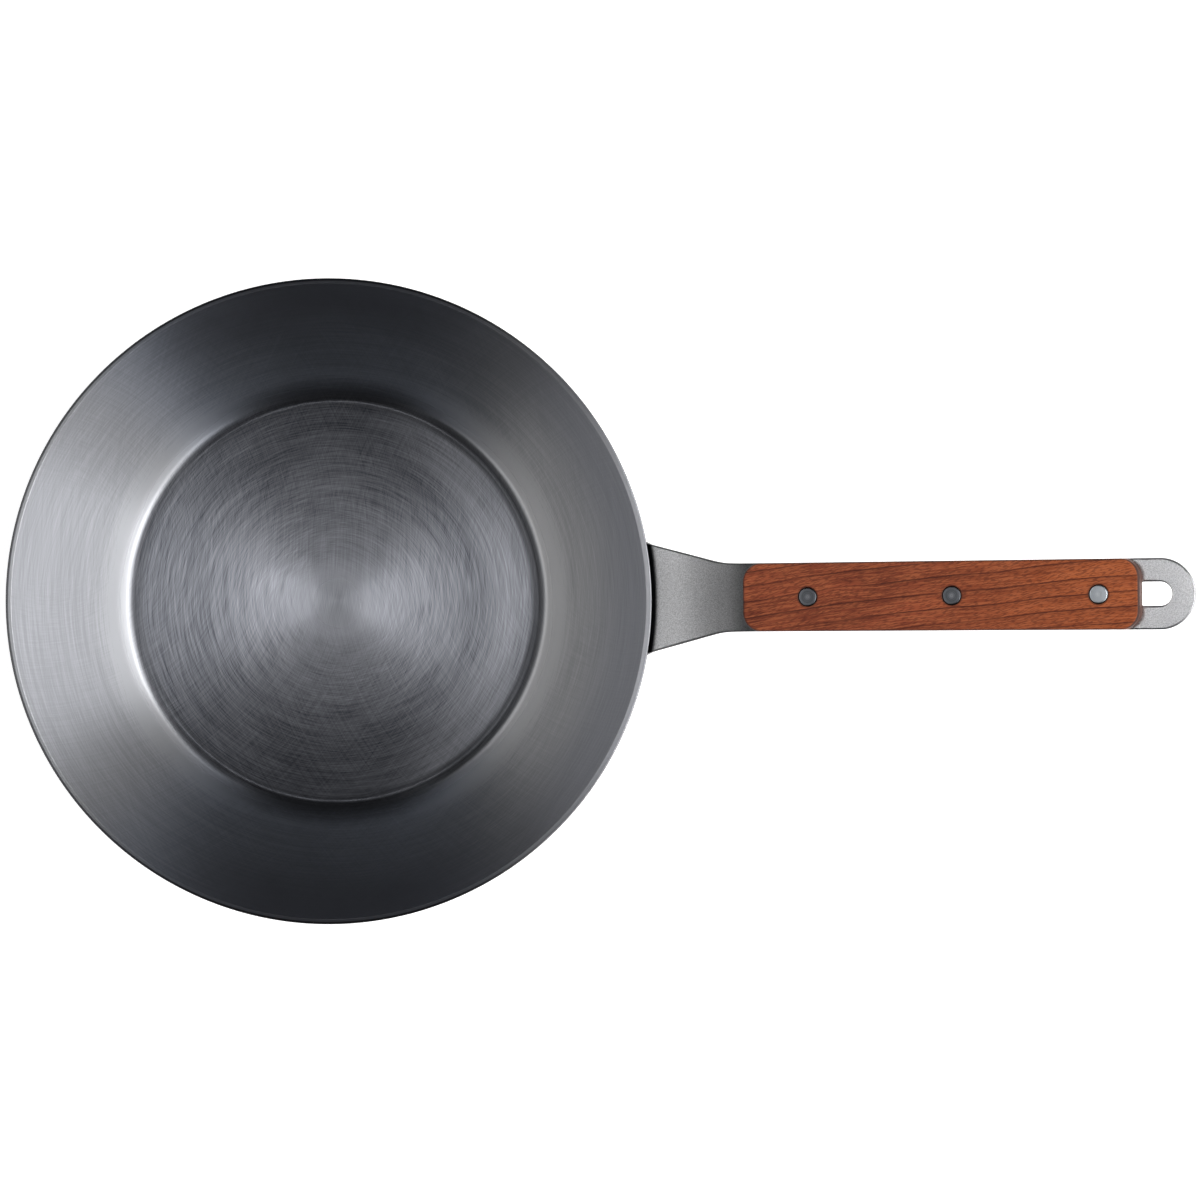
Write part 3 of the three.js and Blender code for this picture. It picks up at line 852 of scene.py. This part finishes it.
def stained_beech(name, shift):
    finish, point = new_finish(name)
    along, across, up = in_tang(point)
    place = along + shift
    wander = (place / (70 * MM)).combine(across / (25 * MM), up / (25 * MM)).noise(2)
    rise = along - along * along / (2 * GRAIN_LEVELS)
    grain = across + 0.85 * up - GRAIN_SLOPE * rise + 5 * MM * wander
    rings = (grain / RING_WIDTH).math("FRACT")
    broken = (place / (40 * MM)).combine(grain / (4 * MM), 0).noise(2).ramp(0.3, 0.6)
    late = 0.22 * rings.ramp(0.35, 0.97) + 0.78 * rings.ramp(0.86, 0.94)
    late = late * (1 - rings.ramp(0.96, 1.0)) * (0.4 + 0.6 * broken)
    slant = grain - FLECK_SLANT * along
    flecks = (place / FLECK_LENGTH).combine(slant / FLECK_WIDTH, up / FLECK_WIDTH).noise(1).ramp(0.49, 0.6)
    fibres = (place / FIBRE_LENGTH).combine(grain / FIBRE_WIDTH, up / FIBRE_WIDTH).noise(2)
    tone = (place / (45 * MM)).combine(grain / (5 * MM), up / (5 * MM)).noise(2).ramp(0.3, 0.7)
    front = tone.mix((0.165, 0.0355, 0.016, 1), (0.27, 0.062, 0.0265, 1))
    rear = tone.mix((0.235, 0.0535, 0.0172, 1), (0.36, 0.092, 0.0285, 1))
    # darker at the front, towards the pan, than at the rear
    base = along.ramp(60 * MM, 170 * MM).mix(front, rear)
    fibrous = (fibres.ramp(0.4, 0.62) * 0.6).mix(base, (0.39, 0.112, 0.044, 1))
    lined = (late * 0.9).mix(fibrous, (0.05, 0.0105, 0.006, 1))
    flecked = (flecks * 0.55).mix(lined, (0.06, 0.013, 0.0075, 1))
    normal = surface_normal(point)
    # the rear end is darkened: end grain, with painted shade against the light from beyond the handle
    end_grain_and_shade = normal.dot(tang_frame.col[0].xyz).ramp(0.2, 0.5)
    whole = end_grain_and_shade.mix(flecked, (0.05, 0.02, 0.013, 1))
    # painted shade along the rounded edges and round the rivets
    on_edge = normal.dot(tang_frame.col[2].xyz).math("ABSOLUTE").band(0.0, 0.15, 0.7, 0.97)
    by_rivet = 1 - from_rivet(along, across).ramp(4.1 * MM, 5.2 * MM)
    edge_and_rivet_shade = on_edge.math("MAXIMUM", by_rivet)
    return close_finish(finish, point, {
        "Base Color": (0.65 * edge_and_rivet_shade).mix(whole, (0.028, 0.011, 0.008, 1)),
        "Roughness": 0.52 + 0.12 * (fibres - 0.5) + 0.1 * flecks,
        "Specular IOR Level": 0.18,
        "Normal": (fibres - 0.6 * flecks).bump(0.04 * MM),
    })


# %% [markdown]
# ## The wooden scales
#
# Two flat slabs on either side of the tang, with round corners, a rounded outer edge and a pocket for
# each rivet head. The lower one is turned over and ends a little sooner, so that the slot is clear from
# above.

# %% Wooden scales
SCALE_THICKNESS = 7.5 * MM
SCALE_CORNER = 8 * MM
SCALE_EDGE_ROUND = 1.2 * MM
LOWER_SET_BACK = 4 * MM
SCALE_INSET = 0.1 * MM
SEAT_GAP = 0.15 * MM
SEAT_ROUND = 0.2 * MM
HEAD_DIAMETER = 7.8 * MM
HEAD_CLEARANCE = 0.3 * MM
HEAD_DEPTH = 1.8 * MM
POCKET_ROUND = 0.2 * MM
SCALE_CORNER_STEPS = 20
BOARD_SHIFT = 300 * MM  # the lower scale is cut from further along the board


def scale_outline(rear):
    """The slab's outline seen from above, for tunnel() to grow or shrink evenly."""
    front = SCALE_START

    def outline(growth):
        points = []
        radius = SCALE_CORNER + growth
        corners = ((rear, -1, -1, -90), (rear, -1, 1, 0), (front, 1, 1, 90), (front, 1, -1, 180))
        for x, inwards, side, start in corners:
            half = tang_half_width(sweep_end + x) - SCALE_INSET
            centre = Vector((x + inwards * SCALE_CORNER, side * (half - SCALE_CORNER)))
            for i in range(SCALE_CORNER_STEPS + 1):
                turn = math.radians(start + 90 * i / SCALE_CORNER_STEPS)
                points.append(centre + radius * Vector((math.cos(turn), math.sin(turn))))
        return points

    return outline


def wooden_scale(rear):
    """Drawn with its outer face at height zero."""
    bm = bmesh.new()
    top_edge = [(-inset, depth) for inset, depth in rounded_edge(SCALE_EDGE_ROUND, ROUND_STEPS)]
    seat_edge = [(-inset, SCALE_THICKNESS - depth) for inset, depth in rounded_edge(SEAT_ROUND, 2)]
    walls = [tunnel(bm, scale_outline(rear), top_edge + seat_edge[::-1])]
    pocket_edge = rounded_edge(POCKET_ROUND, 3)
    hole = SLEEVE_DIAMETER / 2 + RIVET_CLEARANCE - HEAD_DIAMETER / 2 - HEAD_CLEARANCE
    pocket = pocket_edge + [(0, HEAD_DEPTH), (hole, HEAD_DEPTH), (hole, SCALE_THICKNESS)]
    for x in rivet_places:
        walls.append(tunnel(bm, circle(x, HEAD_DIAMETER / 2 + HEAD_CLEARANCE, HOLE_SEGMENTS), pocket))
    for face in (0, 1):
        bmesh.ops.triangle_fill(bm, edges=[edge for ends in walls for edge in ends[face]], use_beauty=True)
    return bm


scale_face = SEAT_GAP + SCALE_THICKNESS
turned_over = Matrix.Translation((0, 0, -STRIP)) @ Matrix.Rotation(math.pi, 4, "X")
halves = {"upper": tang_frame, "lower": tang_frame @ turned_over}
for half, (name, half_frame) in enumerate(halves.items()):
    beech = stained_beech(f"stained_beech_{name}", half * BOARD_SHIFT)
    place = half_frame @ Matrix.Translation((0, 0, scale_face))
    slab = wooden_scale(scale_rear - half * LOWER_SET_BACK)
    add_piece(f"{name}_wood", slab, beech, [f"{name}_scale"], place)

# %% [markdown]
# ## The rivets
#
# Each rivet is a post from above pressed into a sleeve from below. Both heads are turned shapes, almost
# flat, with a shallow dimple, a rounded rim and a thin dark gap round them. The front two look darker
# than the rear one, which one finish paints in as shade by their place along the handle. Each head also
# has a painted highlight in its middle and painted shade round its rim.

# %% Rivet steel
# The front two heads get painted shade, and the rear one is lighter.
DARK_HEADS_END, BRIGHT_HEADS_START = 110 * MM, 140 * MM  # along the tang, between the middle and the rear rivet


def rivet_steel():
    finish, point = new_finish("rivet_steel")
    along, across, _ = in_tang(point)
    radius = from_rivet(along, across)
    rings = (radius / (0.35 * MM)).combine(0, 0).noise(2)
    # painted highlight in the middle of each head, over the turned rings
    tone = 0.5 * rings.ramp(0.3, 0.7) + 0.5 * (1 - radius.ramp(0.4 * MM, 1.7 * MM))
    # painted shade on the front two heads
    dark_heads = tone.mix((0.12, 0.128, 0.142, 1), (0.42, 0.435, 0.47, 1))
    bright_heads = tone.mix((0.55, 0.59, 0.635, 1), (0.74, 0.775, 0.81, 1))
    bare = along.ramp(DARK_HEADS_END, BRIGHT_HEADS_START).mix(dark_heads, bright_heads)
    # painted shade round the rim of each head
    outline = radius.ramp(HEAD_DIAMETER / 2 - 0.35 * MM, HEAD_DIAMETER / 2 - 0.05 * MM)
    return close_finish(finish, point, {
        "Base Color": (0.8 * outline).mix(bare, (0.03, 0.03, 0.032, 1)),
        "Metallic": 1.0,
        "Roughness": 0.3 + 0.08 * rings,
        "Normal": rings.bump(0.001 * MM),
    })


rivet_finish = rivet_steel()

# %% Rivets
HEAD_DOME = 0.06 * MM
HEAD_ROUND = 0.5 * MM
DIMPLE_RADIUS = 1.5 * MM
DIMPLE_DEPTH = 0.05 * MM
POST_DIAMETER = 3.2 * MM
SLEEVE_END = 2 * MM
POST_END_GAP = 0.8 * MM
RIVET_SEGMENTS = 64
DOME_STEPS = 16

head_seat = scale_face - HEAD_DEPTH + RIVET_CLEARANCE
bore_end = SLEEVE_END - STRIP - scale_face


def rivet_head(shank):
    """From the shank out under the head, round its rim and over the flat dome to the dimple on the axis."""
    radius = HEAD_DIAMETER / 2
    points = [(shank, head_seat), (radius, head_seat)]
    for inset, depth in reversed(rounded_edge(HEAD_ROUND, ROUND_STEPS)):
        points.append((radius - inset, scale_face - depth))
    for i in range(1, DOME_STEPS + 1):
        r = (radius - HEAD_ROUND) * (1 - i / DOME_STEPS)
        dimple = DIMPLE_DEPTH * max(0, 1 - (r / DIMPLE_RADIUS) ** 2)
        points.append((r, scale_face + HEAD_DOME * (1 - (r / (radius - HEAD_ROUND)) ** 2) - dimple))
    return points


post_tip = bore_end + POST_END_GAP
post = [(0, post_tip), (POST_DIAMETER / 2, post_tip), *rivet_head(POST_DIAMETER / 2)]
bore = POST_DIAMETER / 2 + RIVET_CLEARANCE
mouth = -STRIP - head_seat + RIVET_CLEARANCE
bore_top = -STRIP - bore_end
sleeve = [
    (0, bore_top),
    (bore, bore_top),
    (bore, mouth),
    (SLEEVE_DIAMETER / 2, mouth),
    *rivet_head(SLEEVE_DIAMETER / 2),
]
for name, x in zip(rivet_names, rivet_places):
    for part, profile, half in (("post", post, "upper"), ("sleeve", sleeve, "lower")):
        place = halves[half] @ Matrix.Translation((x, 0, 0))
        node = f"rivet_{part}_{name}"
        turned = lathe(profile, RIVET_SEGMENTS)
        add_piece(f"{node}_turned", turned, rivet_finish, [node], place)

# %% [markdown]
# ## Floor and light
#
# The pan stands on a plain white floor. Area lamps stand in for five soft boxes: a strong one beyond the
# handle with a weaker one on either side of it, one opposite, and a narrow one overhead. So the walls
# that face along the handle are bright, the left one most, and the other two stay dark.

# %% Floor
FLOOR_SIZE = 12.0
FLOOR_GAP = 0.2 * MM  # keeps the floor and the pan's underside apart


def pale_floor():
    """A white sheet that glows a little, as on a light table, so shadows stay pale."""
    finish, point = new_finish("pale_floor")
    return close_finish(finish, point, {
        "Base Color": (0.6, 0.6, 0.6, 1),
        "Roughness": 0.9,
        "Emission Color": (1, 1, 1, 1),
        "Emission Strength": 0.8,
    })


bm = bmesh.new()
bmesh.ops.create_grid(bm, x_segments=1, y_segments=1, size=FLOOR_SIZE / 2)
floor_mesh = bpy.data.meshes.new("floor")
bm.to_mesh(floor_mesh)
bm.free()
floor_mesh.materials.append(pale_floor())
floor = bpy.data.objects.new("floor", floor_mesh)
floor.location.z = -FLOOR_GAP
scene.collection.objects.link(floor)
floor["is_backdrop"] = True
print(f"Floor {FLOOR_SIZE:.0f} m across, {FLOOR_GAP / MM:.1f} mm under the pan")

# %% Lights
LIGHT_AIM = Vector((0.05, 0, 0.05))


def soft_box(name, place, size, brightness):
    """A rectangular light that faces the pan. Its width lies level."""
    light = bpy.data.lights.new(name, "AREA")
    light.shape = "RECTANGLE"
    light.size, light.size_y = size
    light.energy = brightness * math.pi * size[0] * size[1]
    lamp = bpy.data.objects.new(name, light)
    lamp.location = place
    lamp.rotation_euler = (LIGHT_AIM - lamp.location).to_track_quat("-Z", "Y").to_euler()
    lamp.visible_camera = False
    scene.collection.objects.link(lamp)
    print(f"{name}: {light.energy:.1f} W")


soft_box("right_box", (1.2, 0, 0.85), (1.3, 1.1), 7)
soft_box("front_right_box", (1.05, -0.84, 0.8), (0.8, 0.9), 3.6)
soft_box("back_right_box", (1.05, 0.84, 0.8), (0.8, 0.9), 1.2)
soft_box("left_box", (-1.1, 0, 0.8), (2.0, 0.8), 2.1)
soft_box("top_box", (-0.06, 0.01, 1.25), (0.1, 0.42), 4.2)

world = bpy.data.worlds.new("studio")
world.use_nodes = True
world.node_tree.nodes["Background"].inputs["Color"].default_value = (0.85, 0.85, 0.86, 1)
world.cycles_visibility.diffuse = False
world.cycles_visibility.glossy = False
scene.world = world
scene.view_settings.view_transform = "Standard"

# %% [markdown]
# ## Size and finish
#
# Both boxes, the frame's and the dressed pan's, are gathered and their sizes printed, so the two can be set
# side by side. The dressed pan has to keep the frame's size.

# %% Sizes
boxes = {
    "cad": [list(cad_low), list(cad_high)],
    "visual": [list(corner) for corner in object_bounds()],
}
for name, box in boxes.items():
    print(f"{name} size in mm:", [round((high - low) / MM, 2) for low, high in zip(*box)])
